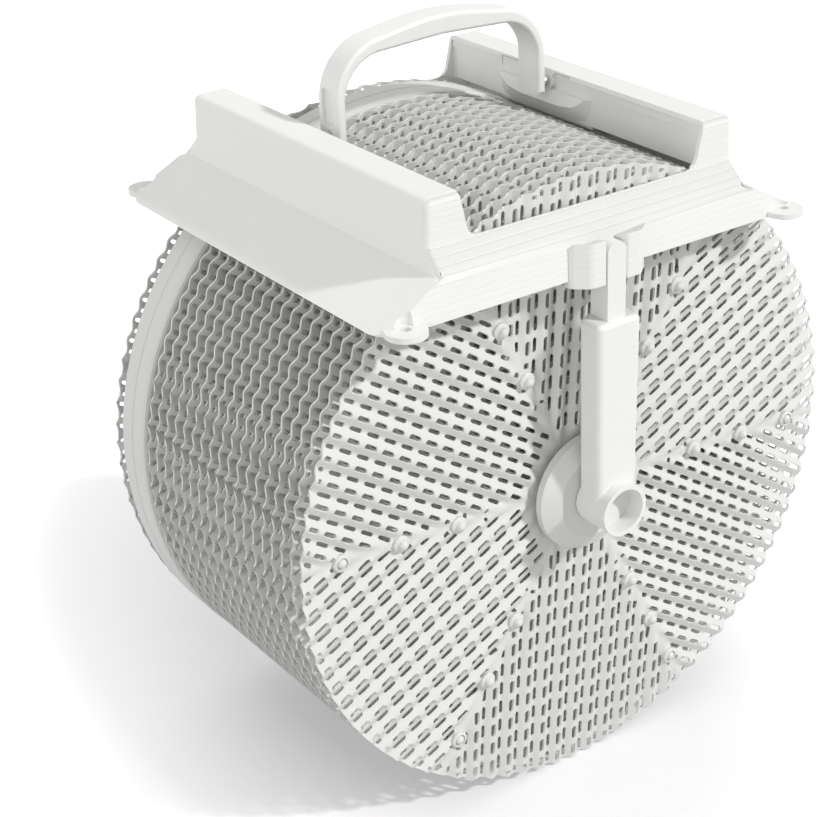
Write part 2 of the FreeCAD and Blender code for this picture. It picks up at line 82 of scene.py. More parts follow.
class Field:
    """A socket of a node tree; arithmetic on it adds Math nodes."""

    def __init__(self, tree, socket):
        self.tree = tree
        self.socket = socket

    def math(self, operation, *values):
        return add(self.tree, "ShaderNodeMath", {"operation": operation}, [self, *values])[0]

    def __add__(self, other):
        return self.math("ADD", other)

    def __sub__(self, other):
        return self.math("SUBTRACT", other)

    def __rsub__(self, other):
        return add(self.tree, "ShaderNodeMath", {"operation": "SUBTRACT"}, [other, self])[0]

    def __mul__(self, other):
        return self.math("MULTIPLY", other)

    __rmul__ = __mul__

    def __truediv__(self, other):
        return self.math("DIVIDE", other)

    def at_most(self, other):
        return self.math("MINIMUM", other)

    def at_least(self, other):
        return self.math("MAXIMUM", other)

    def clamped(self):
        return self.at_least(0.0).at_most(1.0)


class Outputs(list):
    """The outputs of one node, by number or by name."""

    def __getitem__(self, key):
        if isinstance(key, str):
            return next(f for f in self if f.socket.name == key and f.socket.enabled)
        return list.__getitem__(self, key)


def add(tree, kind, settings=None, inputs=None):
    """Add one node: its settings first, then the values or links of its sockets."""
    node = tree.nodes.new(kind)
    for name, value in (settings or {}).items():
        setattr(node, name, value)
    pairs = inputs.items() if isinstance(inputs, dict) else enumerate(inputs or [])
    for key, value in pairs:
        if isinstance(key, str):
            socket = next(s for s in node.inputs if s.name == key and s.enabled)
        else:
            socket = node.inputs[key]
        if isinstance(value, Field):
            tree.links.new(value.socket, socket)
        else:
            socket.default_value = value
    return Outputs(Field(tree, s) for s in node.outputs)


def metres(name, text, default):
    """A size in metres."""
    return bpy.props.FloatProperty(name=name, description=text, default=default, unit="LENGTH")


def amount(name, text, default):
    """A plain number, such as the strength of a lamp."""
    return bpy.props.FloatProperty(name=name, description=text, default=default)


def tone(name, text, default):
    """A colour in linear values."""
    return bpy.props.FloatVectorProperty(name=name, description=text, default=default, subtype="COLOR")


class DiscSizes(bpy.types.PropertyGroup):
    """Sizes of one corrugated, slotted disc, in metres."""

    radius: metres("Radius", "Outer radius of a disc", 0.1488)
    bore: metres("Bore", "Radius of the middle hole", 0.0142)
    hub: metres("Hub", "Radius of the flat middle", 0.027)
    wall: metres("Wall", "Thickness of the sheet", 0.0009)
    rise: metres("Wave rise", "Height of a wave over the middle of the sheet", 0.00115)
    ridge_pitch: metres("Ridge pitch", "Distance from ridge to ridge, and from slot to slot", 0.01)
    ridge_end: metres("Ridge end", "Distance over which a ridge dies out beside a seam", 0.0026)
    slot_length: metres("Slot length", "Length of a slot", 0.0073)
    slot_width: metres("Slot width", "Width of a slot", 0.0023)
    seam_margin: metres("Seam margin", "Plain sheet beside a seam, along a ridge", 0.0045)
    rim_margin: metres("Rim margin", "Plain sheet inside the outer edge", 0.0012)
    rest_turn: bpy.props.FloatProperty(
        name="Rest turn", description="Turn of the first sector's ridges from level",
        default=math.radians(26.5), subtype="ANGLE")
    collar_front: metres("Collar reach", "How far the collar stands before the sheet", 0.00414)
    collar_rear: metres("Collar back reach", "How far the collar stands behind the sheet", 0.00354)
    collar_radius: metres("Collar radius", "Outer radius of the collar", 0.018)
    stud_radius: metres("Stud radius", "Radius of a stud's ball end", 0.0024)
    stud_base: metres("Stud base", "Radius of a stud's foot", 0.004)
    stud_first: metres("First stud", "Distance of the inner stud from the axle", 0.069)
    stud_step: metres("Stud step", "Distance from stud to stud", 0.0305)
    stud_tall: metres("Tall stud", "Reach of an inner stud from the middle of the sheet", 0.0048)
    stud_low: metres("Low stud", "Reach of an outer stud from the middle of the sheet", 0.0033)


class Finish(bpy.types.PropertyGroup):
    """Colours of the moulded plastics, a painted shade on the hub parts, layer lines and rounded edges."""

    frame_color: tone("Frame", "Plastic of the frame and hangers", (0.76, 0.76, 0.745))
    disc_color: tone("Discs", "Plastic of the discs", (0.655, 0.655, 0.642))
    handle_color: tone("Handle", "Plastic of the handle", (0.76, 0.76, 0.748))
    steel_color: tone("Steel", "Metal of the axle, pins and screws", (0.62, 0.62, 0.63))
    bush_color: tone("Bushes", "Plastic of the bushes", (0.25, 0.25, 0.25))
    wheel_tone: amount("Wheel tone", "Brightness of the wheel against the frame", 0.82)
    # painted shade: the hub parts are darkened evenly, standing in for the shadow that the hanger arm
    # casts on the front flange
    hub_painted_shade: amount("Hub tone", "Brightness of the hub parts against the handle", 0.86)
    line_pitch: metres("Layer pitch", "Height of one layer of the frame", 0.0029)
    line_depth: amount("Layer depth", "Strength of the layer lines", 0.25)
    edge_round: metres("Edge rounding", "Rounding of the edges of the frame and the handle", 0.0006)
    hanger_round: metres("Hanger rounding", "Rounding of the hangers' edges", 0.0005)
    liner_wall: metres("Liner wall", "Thickness of a rail's inner wall", 0.0013)
    liner_place: metres("Liner place", "Distance of a rail's inner wall from the middle", 0.0673)
    liner_long: metres("Liner length", "Length of a rail's inner wall", 0.183)
    liner_tall: metres("Liner height", "Height of a rail's inner wall", 0.0196)
    liner_middle: metres("Liner middle", "Height of the inner wall's middle over the ears", 0.0356)


class Stage(bpy.types.PropertyGroup):
    """Camera and lamps of the studio."""

    camera_place: bpy.props.FloatVectorProperty(
        name="Camera", description="Where the camera stands",
        default=(-0.4907, -0.6708, 0.3114), subtype="TRANSLATION")
    camera_turn: bpy.props.FloatVectorProperty(
        name="Camera turn", description="Heading, pitch and roll of the camera",
        default=[math.radians(degrees) for degrees in (-34.761, 26.901, -2.002)], subtype="EULER")
    camera_field: bpy.props.FloatProperty(
        name="Field of view", description="Width of the camera's view",
        default=math.radians(24.1), subtype="ANGLE")
    camera_shift: bpy.props.FloatVectorProperty(
        name="Shift", description="How far the lens is shifted, in widths of the picture",
        default=(-0.0129, 0.0101), size=2)
    key_power: amount("Key", "Strength of the key lamp", 2.35)
    side_power: amount("Side", "Strength of the broad lamp on the left", 1.05)
    back_power: amount("Back", "Strength of the broad lamp at the rear left", 0.6)
    top_power: amount("Top", "Strength of the broad lamp overhead", 0.45)
    sky_power: amount("Sky", "Strength of the even light from around", 0.47)
    floor_glow: amount("Floor glow", "Light that the white floor adds in view", 0.28)


def input_socket(tree, name, kind):
    """Add a named input to a tree and give its identifier."""
    return tree.interface.new_socket(name, in_out="INPUT", socket_type=kind).identifier


def object_of(name, data):
    made = bpy.data.objects.new(name, data)
    bpy.context.scene.collection.objects.link(made)
    return made


def plain_mesh(obj, name):
    """The evaluated shape of an object as a plain mesh; the object is removed."""
    evaluated = obj.evaluated_get(bpy.context.evaluated_depsgraph_get())
    mesh = bpy.data.meshes.new_from_object(evaluated)
    mesh.name = name
    bpy.data.objects.remove(obj)
    return mesh


def shade(mesh):
    """Smooth shading with sharp edges kept."""
    mesh.polygons.foreach_set("use_smooth", [True] * len(mesh.polygons))
    mesh.set_sharp_from_angle(angle=math.radians(40))
    mesh.update()


def lathe(work, profile, segments):
    """Turn a closed profile of radius and place about the Y axis into a bmesh."""
    rings = []
    for step in range(segments):
        angle = 2 * math.pi * step / segments
        ring = []
        for radius, along in profile:
            ring.append(work.verts.new((radius * math.cos(angle), along, radius * math.sin(angle))))
        rings.append(ring)
    count = len(profile)
    made = []
    for step in range(segments):
        one, two = rings[step], rings[(step + 1) % segments]
        for i in range(count):
            j = (i + 1) % count
            made.append(work.faces.new((one[i], one[j], two[j], two[i])))
    return made


def slot_cell(length, width, pitch, row):
    """One flat cell with one slot; the corners of the slot's rim are marked."""
    mesh = bpy.data.meshes.new("slot_cell")
    work = bmesh.new()
    mark = work.verts.layers.float.new("slot_rim")
    straight = length / 2 - width / 2
    side = width / 2
    tip, slim = length / 2 - 0.1 * width, 0.45 * side
    half_rim = [(straight, side), (tip, slim), (tip, -slim), (straight, -side)]
    rim = half_rim + [(-x, y) for x, y in reversed(half_rim)]
    i = []  # corners of the slot's rim; o holds the corners of the cell's edge
    for x, z in rim:
        corner = work.verts.new((x, 0, z))
        corner[mark] = 1.0
        i.append(corner)
    end, top = pitch / 2, row / 2
    half_edge = [(straight, top), (end, top), (end, side), (end, 0), (end, -side), (end, -top)]
    half_edge.append((straight, -top))
    edge = half_edge + [(-x, -z) for x, z in half_edge]
    o = [work.verts.new((x, 0, z)) for x, z in edge]
    faces = [
        (i[0], o[0], o[1], o[2]), (i[0], o[2], i[1]), (i[1], o[2], o[3]), (i[1], o[3], i[2]),
        (i[2], o[3], o[4]), (i[2], o[4], i[3]), (i[3], o[4], o[5], o[6]), (i[3], o[6], o[7], i[4]),
        (i[4], o[7], o[8], o[9]), (i[4], o[9], i[5]), (i[5], o[9], o[10]), (i[5], o[10], i[6]),
        (i[6], o[10], o[11]), (i[6], o[11], i[7]), (i[7], o[11], o[12], o[13]), (i[7], o[13], o[0], i[0]),
    ]
    for face in faces:
        work.faces.new(face)
    work.to_mesh(mesh)
    work.free()
    return mesh


def sector_copies(tree, geometry, start):
    """One copy of a geometry for each sector, turned about the Y axis and joined into one."""
    one = add(tree, "GeometryNodeGeometryToInstance", None, {"Geometry": geometry})[0]
    copies = add(tree, "GeometryNodeDuplicateElements", {"domain": "INSTANCE"}, {
        "Geometry": one, "Amount": SECTORS})
    angle = (copies["Duplicate Index"] * SECTOR_TURN + start) * -1.0
    spin = add(tree, "ShaderNodeCombineXYZ", None, [0.0, angle, 0.0])[0]
    whole = add(tree, "GeometryNodeRotateInstances", None, {
        "Instances": copies["Geometry"], "Rotation": spin})[0]
    return add(tree, "GeometryNodeRealizeInstances", None, {"Geometry": whole})[0]


def finished_tree(tree, geometry, material):
    """End a tree in Realize Instances and Set Material."""
    whole = add(tree, "GeometryNodeRealizeInstances", None, {"Geometry": geometry})[0]
    whole = add(tree, "GeometryNodeSetMaterial", None, {"Geometry": whole, "Material": material})[0]
    add(tree, "NodeGroupOutput", None, {"Geometry": whole})


def slot_place(got, u, v):
    """Where along its row a point of a slot's rim lies, so that slots stay clear of seams and edge.

    A last slot with less than rest beside it grows by stretch; one cut to less than stub is closed.
    """
    radius, pitch, slot, hub = got["Radius"], got["Ridge Pitch"], got["Slot Length"], got["Flat Hub"]
    row = pitch * 0.5
    clear_hub, rest, stretch, shortest, stub = 1.12, 3.8 * MM, 1.2 * MM, 2 * MM, 0.8 * MM
    row_middle = (v / row).math("ROUND") * row
    cell_middle = ((u / pitch - 0.5).math("ROUND") + 0.5) * pitch
    near = row_middle.math("ABSOLUTE") * SECTOR_SLOPE + got["Seam Margin"]
    near = near.at_least(hub * clear_hub).at_least(cell_middle - slot * 0.5)
    edge = (radius * radius - row_middle * row_middle).at_least(0.0).math("SQRT") - got["Rim Margin"]
    last = cell_middle + slot * 0.5
    last = last + (edge - last).math("LESS_THAN", rest) * stretch
    far = edge.at_most(last)
    kept = (far - near).math("GREATER_THAN", stub)
    near = near.at_most(far - shortest)
    place = near + ((u - cell_middle) / slot + 0.5) * (far - near)
    return place * kept + cell_middle * (1.0 - kept)


def wave_place(tree, got, u, v):
    """A point of the flat sector, held inside the sector and lifted by the wave."""
    radius, bore, hub = got["Radius"], got["Bore"], got["Flat Hub"]
    plain_strip, hub_fade = 1.2 * MM, 3 * MM
    side = v.math("SIGN")
    v = v.math("ABSOLUTE").at_most(radius * 0.5)
    inner = (v * SECTOR_SLOPE).at_least((bore * bore - v * v).at_least(0.0).math("SQRT"))
    outer = (radius * radius - v * v).at_least(0.0).math("SQRT")
    u = u.at_least(inner).at_most(outer.at_least(inner))
    from_seam = u * 0.5 - v * (SECTOR_SLOPE / 2)
    from_middle = (u * u + v * v).math("SQRT")
    fade = ((from_seam - plain_strip) / got["Ridge End"]).clamped()
    fade = fade * fade * (3.0 - 2.0 * fade) * ((from_middle - hub) / hub_fade).clamped()
    wave = (v * (2 * math.pi) / got["Ridge Pitch"]).math("COSINE") * got["Wave Rise"] * fade
    return add(tree, "ShaderNodeCombineXYZ", None, [u, wave, v * side])[0]


def wave_disc_tree():
    """A tree that lays slotted cells into the corrugated sectors of one disc."""
    tree = bpy.data.node_groups.new("slotted wave disc", "GeometryNodeTree")
    ids = {"Cell": input_socket(tree, "Cell", "NodeSocketGeometry")}
    for name in ("Radius", "Bore", "Flat Hub", "Ridge Pitch", "Wave Rise", "Slot Length", "Seam Margin",
                 "Rim Margin", "Ridge End", "Rest Turn"):
        ids[name] = input_socket(tree, name, "NodeSocketFloat")
    ids["Material"] = input_socket(tree, "Material", "NodeSocketMaterial")
    tree.interface.new_socket("Geometry", in_out="OUTPUT", socket_type="NodeSocketGeometry")
    got = add(tree, "NodeGroupInput")
    pitch = got["Ridge Pitch"]
    along, across = 14, 31
    merge, sliver = 0.02 * MM, 0.003 * MM * MM
    grid = add(tree, "GeometryNodeMeshGrid", None, {
        "Size X": pitch * (along - 1), "Size Y": pitch * 0.5 * (across - 1),
        "Vertices X": along, "Vertices Y": across})["Mesh"]
    spots = add(tree, "GeometryNodeMeshToPoints", {"mode": "VERTICES"}, {"Mesh": grid})["Points"]
    x, y, _ = add(tree, "ShaderNodeSeparateXYZ", None, [add(tree, "GeometryNodeInputPosition")[0]])
    laid = add(tree, "ShaderNodeCombineXYZ", None, [x + pitch * (along / 2 + 1), 0.0, y])[0]
    spots = add(tree, "GeometryNodeSetPosition", None, {"Geometry": spots, "Position": laid})[0]
    cells = add(tree, "GeometryNodeInstanceOnPoints", None, {
        "Points": spots, "Instance": got["Cell"]})[0]
    flat = add(tree, "GeometryNodeRealizeInstances", None, {"Geometry": cells})[0]

    u, _, v = add(tree, "ShaderNodeSeparateXYZ", None, [add(tree, "GeometryNodeInputPosition")[0]])
    rim = add(tree, "GeometryNodeInputNamedAttribute", {"data_type": "FLOAT"}, {
        "Name": "slot_rim"})["Attribute"]
    u = slot_place(got, u, v) * rim + u * (1.0 - rim)
    moved = wave_place(tree, got, u, v)
    sector = add(tree, "GeometryNodeSetPosition", None, {"Geometry": flat, "Position": moved})[0]
    sector = add(tree, "GeometryNodeMergeByDistance", None, {"Geometry": sector, "Distance": merge})[0]
    area = add(tree, "GeometryNodeInputMeshFaceArea")[0]
    sector = add(tree, "GeometryNodeDeleteGeometry", {"domain": "FACE"}, {
        "Geometry": sector, "Selection": area.math("LESS_THAN", sliver)})[0]
    whole = sector_copies(tree, sector, got["Rest Turn"])
    whole = add(tree, "GeometryNodeMergeByDistance", None, {"Geometry": whole, "Distance": merge})[0]
    finished_tree(tree, whole, got["Material"])
    return tree, ids


def stud_ring_tree():
    """A tree that sets copies of a piece in rows along the seams of a disc."""
    tree = bpy.data.node_groups.new("studs along the seams", "GeometryNodeTree")
    ids = {"Stud": input_socket(tree, "Stud", "NodeSocketGeometry")}
    for name in ("First Radius", "Step", "Start Turn"):
        ids[name] = input_socket(tree, name, "NodeSocketFloat")
    ids["Row Count"] = input_socket(tree, "Row Count", "NodeSocketInt")
    ids["Material"] = input_socket(tree, "Material", "NodeSocketMaterial")
    tree.interface.new_socket("Geometry", in_out="OUTPUT", socket_type="NodeSocketGeometry")
    got = add(tree, "NodeGroupInput")
    first = add(tree, "ShaderNodeCombineXYZ", None, [got["First Radius"], 0.0, 0.0])[0]
    step = add(tree, "ShaderNodeCombineXYZ", None, [got["Step"], 0.0, 0.0])[0]
    line = add(tree, "GeometryNodeMeshLine", {"mode": "OFFSET"}, {
        "Count": got["Row Count"], "Start Location": first, "Offset": step})[0]
    spoke = add(tree, "GeometryNodeInstanceOnPoints", None, {"Points": line, "Instance": got["Stud"]})[0]
    whole = sector_copies(tree, spoke, got["Start Turn"])
    finished_tree(tree, whole, got["Material"])
    return tree, ids


def run_tree(obj, tree, ids, values):
    """Put a tree on an object with its inputs set by identifier."""
    modifier = obj.modifiers.new("shape", "NODES")
    modifier.node_group = tree
    for name, value in values.items():
        modifier[ids[name]] = value


def stud_mesh(radius, base, reach):
    """One seam stud: a round foot that blends into a pin with a ball end towards the front."""
    mesh = bpy.data.meshes.new("stud")
    work = bmesh.new()
    middle, back, foot, chamfer, merge = 1e-5, 0.0012, -0.0017, 0.0004, 5e-5
    ball = radius - reach
    ball_base = min(ball, -0.0009)
    profile = [(middle, back), (base, back), (base, foot), (base - chamfer, foot - chamfer)]
    profile.append((radius + chamfer, min(foot - 0.0005, ball + 0.0002)))
    steps = 5
    for step in range(steps + 1):
        angle = math.pi / 2 * step / steps
        profile.append((max(radius * math.cos(angle), middle), ball_base - radius * math.sin(angle)))
    lathe(work, profile, 20)
    bmesh.ops.remove_doubles(work, verts=work.verts, dist=merge)
    bmesh.ops.recalc_face_normals(work, faces=work.faces)
    work.to_mesh(mesh)
    work.free()
    return mesh


def new_material(name):
    """An empty material and its tree."""
    material = bpy.data.materials.new(name)
    material.use_nodes = True
    material.node_tree.nodes.clear()
    return material, material.node_tree


def noise(tree, place, scale, detail, roughness=0.5):
    """A noise of the object's own coordinates."""
    return add(tree, "ShaderNodeTexNoise", None, {
        "Vector": place, "Scale": scale, "Detail": detail, "Roughness": roughness})[0]


def mixed(tree, factor, one, two):
    return add(tree, "ShaderNodeMix", {"data_type": "RGBA"}, {
        "Factor": factor, "A": one, "B": two})["Result"]


def toned(color, share):
    """A colour with every part multiplied, and full alpha."""
    return [min(c * share, 1) for c in color] + [1]


def layer_lines(tree, coords, pitch):
    """Depth of the level layer lines, and where a painted shade darkens sloped faces turned to the front
    or rear, most in the grooves.
    """
    place = coords["Object"]
    z = add(tree, "ShaderNodeSeparateXYZ", None, [place])[2]
    wobble, groove_share = 0.6 * MM, 0.28
    level = (z + (noise(tree, place, 9.0, 1.0) - 0.5) * wobble) / pitch
    from_line = (level.math("FRACT") - 0.5).math("ABSOLUTE") * 2.0
    groove = (from_line - (1 - groove_share)).at_least(0.0) / groove_share
    _, across, up = add(tree, "ShaderNodeSeparateXYZ", None, [coords["Normal"]])
    across, up = across.math("ABSOLUTE"), up.math("ABSOLUTE")
    upright = (across - 0.25).clamped()
    sloped = (up * 5.0 - 1.5).clamped() * (upright * 4.0).clamped()
    depth = groove * (upright * (1.0 - up) + sloped * 0.5)
    return depth, sloped * (groove * 0.25 + 0.75)


def plastic(name, color, layers=0.0, pitch=None):
    """Moulded plastic: faint cloudiness, a fine grain and, on the frame, level layer lines with a painted
    shade on sloped faces.

    The scales of the noises are per metre: clouds of centimetres, specks and a grain under a millimetre.
    """
    material, tree = new_material(name)
    coords = add(tree, "ShaderNodeTexCoord")
    place = coords["Object"]
    cloud = noise(tree, place, 22.0, 3.0, 0.55)
    speck = noise(tree, place, 900.0, 2.0, 0.6)
    grain = noise(tree, place, 2600.0, 2.0)
    tint = (cloud - 0.5) * 0.35 + (speck - 0.5) * 0.12 + 0.5
    shown = mixed(tree, tint, toned(color, 0.955), toned(color, 1.035))
    rough = (speck - 0.5) * 0.16 + (cloud - 0.5) * 0.1 + 0.46
    height = grain * 0.5 + speck * 0.5
    normal = add(tree, "ShaderNodeBump", None, {
        "Strength": 0.1, "Distance": 0.2 * MM, "Height": height})[0]
    if layers:
        depth, slope_shade = layer_lines(tree, coords, pitch)
        # painted shade: sloped faces are darkened towards 0.72 of the plastic's colour, most in the layer
        # grooves
        shown = mixed(tree, slope_shade, shown, toned(color, 0.72))
        normal = add(tree, "ShaderNodeBump", {"invert": True}, {
            "Strength": layers, "Distance": 0.5 * MM, "Height": depth, "Normal": normal})[0]
    shader = add(tree, "ShaderNodeBsdfPrincipled", None, {
        "Base Color": shown, "Roughness": rough, "Normal": normal, "IOR": 1.48})
    add(tree, "ShaderNodeOutputMaterial", None, {"Surface": shader[0]})
    return material


def metal(name, color, roughness):
    """Bright metal with a fine mottle."""
    material, tree = new_material(name)
    place = add(tree, "ShaderNodeTexCoord")["Object"]
    streak = noise(tree, place, 700.0, 3.0)
    shown = mixed(tree, streak, toned(color, 0.85), toned(color, 1))
    shader = add(tree, "ShaderNodeBsdfPrincipled", None, {
        "Base Color": shown, "Metallic": 1.0, "Roughness": streak * 0.15 + roughness})
    add(tree, "ShaderNodeOutputMaterial", None, {"Surface": shader[0]})
    return material


def give(obj, material):
    """Set one material on every slot of an object."""
    if not obj.material_slots:
        obj.data.materials.append(material)
    for slot in obj.material_slots:
        slot.material = material


def softened(name, node, body, material, width, wider):
    """A copy of a solid with its edges rounded, in place of the solid itself.

    Each entry of wider is a test of an edge's two ends and the radius of the edges that pass it.
    """
    sharp_angle, flat_angle, merge = math.radians(28), math.radians(1), 2e-6
    mesh = nodes[node].data.copy()
    work = bmesh.new()
    work.from_mesh(mesh)
    bmesh.ops.remove_doubles(work, verts=work.verts, dist=merge)
    bmesh.ops.dissolve_limit(work, angle_limit=flat_angle, verts=work.verts, edges=work.edges)
    for test, radius in wider:
        sharp = [e for e in work.edges if e.is_manifold and e.calc_face_angle() > sharp_angle]
        chosen = [e for e in sharp if test(*(v.co / MM for v in e.verts))]
        bmesh.ops.bevel(
            work, geom=chosen, offset=radius, segments=6, profile=0.5, affect="EDGES", clamp_overlap=False)
    work.to_mesh(mesh)
    work.free()
    mesh.polygons.foreach_set("use_smooth", [True] * len(mesh.polygons))
    made = object_of(name, mesh)
    bevel = made.modifiers.new("edges", "BEVEL")
    bevel.width = width
    bevel.segments = 2
    bevel.limit_method = "ANGLE"
    bevel.angle_limit = sharp_angle
    normals = made.modifiers.new("normals", "WEIGHTED_NORMAL")
    normals.keep_sharp = True
    mesh = plain_mesh(made, name)
    shade(mesh)
    made = object_of(name, mesh)
    give(made, material)
    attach(made, body)
    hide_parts(node)
    return made


# The tests of edges take the two ends of an edge, in millimetres.


def close_to(value, target, slack):
    return abs(value - target) < slack


def rail_edge(a, b):
    """Whether an edge is one of the outer edges of a rail: along its top, across its ends or upright."""
    side, end, inside, top, foot = 81.5, 92, 65, 46.5, 16
    nearer = min(abs(a.x), abs(b.x))
    crosses = abs(a.x - b.x) > 2
    level = min(a.z, b.z) > top and all(abs(p.x) > side or abs(p.y) > end for p in (a, b))
    upright = min(a.z, b.z) > foot and nearer > side and abs(a.z - b.z) > 5
    return (level and (nearer > side or (nearer > inside and crosses))) or upright


def crest_edge(a, b):
    """Whether an edge is the long ridge across the front or the rear of the saddle."""
    height, reach = 17, 102
    return all(close_to(p.z, height, 0.5) and close_to(abs(p.y), reach, 0.5) for p in (a, b))


def cheek_edge(a, b):
    """Whether an edge is an upright edge of the cheeks beside the tongue."""
    front, half = 106, 22
    return abs(a.z - b.z) > 5 and min(abs(a.y), abs(b.y)) > front and max(abs(a.x), abs(b.x)) < half


def bail_edge(a, b):
    """Whether an edge runs along the front or rear of the handle."""
    return any(all(close_to(p.y, corner[1] / MM, 0.2) for p in (a, b)) for corner in HANDLE_BOX)


def arm_edge(a, b):
    """Whether an edge lies round the top of a hanger's arm."""
    top, tongue, front = -20, 5.5, 113
    return all(close_to(p.z, top, 0.3) and (abs(p.x) > tongue or abs(p.y) > front) for p in (a, b))


class DiscsOperator(bpy.types.Operator):
    """Make the corrugated, slotted discs with their studs and collars"""

    bl_idname = "disc_filter.discs"
    bl_label = "Discs"

    def execute(self, context):
        s = context.scene.disc_sizes
        material = plastic("disc plastic", context.scene.disc_finish.disc_color)
        tree, ids = wave_disc_tree()
        cell = object_of("cell", slot_cell(s.slot_length, s.slot_width, s.ridge_pitch, s.ridge_pitch / 2))
        run_tree(cell, tree, ids, {
            "Radius": s.radius, "Bore": s.bore, "Flat Hub": s.hub, "Ridge Pitch": s.ridge_pitch,
            "Wave Rise": s.rise, "Slot Length": s.slot_length, "Seam Margin": s.seam_margin,
            "Rim Margin": s.rim_margin, "Ridge End": s.ridge_end, "Rest Turn": s.rest_turn,
            "Material": material})
        wall = cell.modifiers.new("wall", "SOLIDIFY")
        wall.thickness = s.wall
        wall.offset = 0
        sheet = plain_mesh(cell, "disc_sheet")
        tree, ids = stud_ring_tree()
        work = bmesh.new()
        work.from_mesh(sheet)
        for first, rows, reach in ((0, 2, s.stud_tall), (2, 1, s.stud_low)):
            stud = object_of("stud", stud_mesh(s.stud_radius, s.stud_base, reach))
            run_tree(stud, tree, ids, {
                "First Radius": s.stud_first + first * s.stud_step, "Step": s.stud_step,
                "Row Count": rows, "Start Turn": s.rest_turn + SECTOR_TURN / 2, "Material": material})
            work.from_mesh(plain_mesh(stud, "disc_studs"))
        collar = [(s.bore, -s.collar_front), (s.collar_radius, -s.collar_front),
                  (s.collar_radius, s.collar_rear), (s.bore, s.collar_rear)]
        faces = lathe(work, collar, 48)
        bmesh.ops.recalc_face_normals(work, faces=faces)
        whole = bpy.data.meshes.new("disc")
        work.to_mesh(whole)
        work.free()
        shade(whole)
        for name in sorted(n for n in nodes if n.startswith("disc_")):
            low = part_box(name)[0]
            mesh = whole.copy()
            mesh.transform(Matrix.Translation((0, low[1] + s.collar_front, AXIS.z)))
            made = object_of("slotted_" + name, mesh)
            give(made, material)
            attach(made, "drum")
            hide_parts(name)
        return {"FINISHED"}


class FrameOperator(bpy.types.Operator):
    """Round the edges of the saddle frame and give it its layered plastic"""

    bl_idname = "disc_filter.saddle"
    bl_label = "Saddle frame"

    def execute(self, context):
        f = context.scene.disc_finish
        material = plastic("frame plastic", f.frame_color, layers=f.line_depth, pitch=f.line_pitch)
        wider = ((rail_edge, 3 * MM), (crest_edge, 4 * MM), (cheek_edge, 1.8 * MM))
        made = softened("saddle_shell", "saddle_frame", "frame", material, f.edge_round, wider=wider)
        for side, place in ((-1, "left"), (1, "right")):
            work = bmesh.new()
            bmesh.ops.create_cube(work, size=1.0)
            bmesh.ops.scale(work, vec=(f.liner_wall, f.liner_long, f.liner_tall), verts=work.verts)
            bmesh.ops.translate(work, vec=(side * f.liner_place, 0, f.liner_middle), verts=work.verts)
            mesh = bpy.data.meshes.new("rail_liner")
            work.to_mesh(mesh)
            work.free()
            liner = object_of(f"{place}_rail_liner", mesh)
            give(liner, material)
            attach(liner, "frame")
        return {"FINISHED"}


class HangersOperator(bpy.types.Operator):
    """Round the edges of both hangers"""

    bl_idname = "disc_filter.hangers"
    bl_label = "Hangers"

    def execute(self, context):
        f = context.scene.disc_finish
        material = plastic("hanger plastic", f.frame_color)
        for place in ("front", "rear"):
            made = softened(f"{place}_hanger_shell", f"{place}_hanger", "frame", material,
                            f.hanger_round, wider=((arm_edge, 2.5 * MM),))
        return {"FINISHED"}


class HandleOperator(bpy.types.Operator):
    """Round the edges of the carry handle"""

    bl_idname = "disc_filter.handle"
    bl_label = "Carry handle"

    def execute(self, context):
        f = context.scene.disc_finish
        material = plastic("handle plastic", f.handle_color)
        made = softened("handle_bail", "carry_handle", "handle", material, f.edge_round,
                        wider=((bail_edge, 1.8 * MM),))
        return {"FINISHED"}


class InsidesOperator(bpy.types.Operator):
    """Finish the wheel, flanges, shaft, bushes and screws"""

    bl_idname = "disc_filter.insides"
    bl_label = "Wheel, hub and small parts"

    def execute(self, context):
        f = context.scene.disc_finish
        white = plastic("wheel plastic", [c * f.wheel_tone for c in f.frame_color])
        # the hub parts get a darkened plastic: painted shade for the arm's shadow on the front flange
        shaded_hub = plastic("hub plastic with painted shade", [c * f.hub_painted_shade for c in f.handle_color])
        steel = metal("turned steel", f.steel_color, 0.28)
        dark = plastic("bush plastic", f.bush_color)
        for material, names in (
            (white, ("wheel_front_half", "wheel_rear_half")),
            (shaded_hub, ("front_flange", "rear_flange", "core_tube", "wheel_spacer", "rear_sleeve")),
            (steel, ("axle", "wheel_screws", "left_handle_pin", "right_handle_pin")),
            (dark, ("front_bush", "rear_bush")),
        ):
            for name in names:
                give(nodes[name], material)
        return {"FINISHED"}


def seen_directly(tree):
    """1 where the camera, a mirror or a clear piece looks at a thing, 0 where only its light counts."""
    ray = add(tree, "ShaderNodeLightPath")
    return (ray["Is Camera Ray"] + ray["Is Glossy Ray"] + ray["Is Transmission Ray"]).clamped()


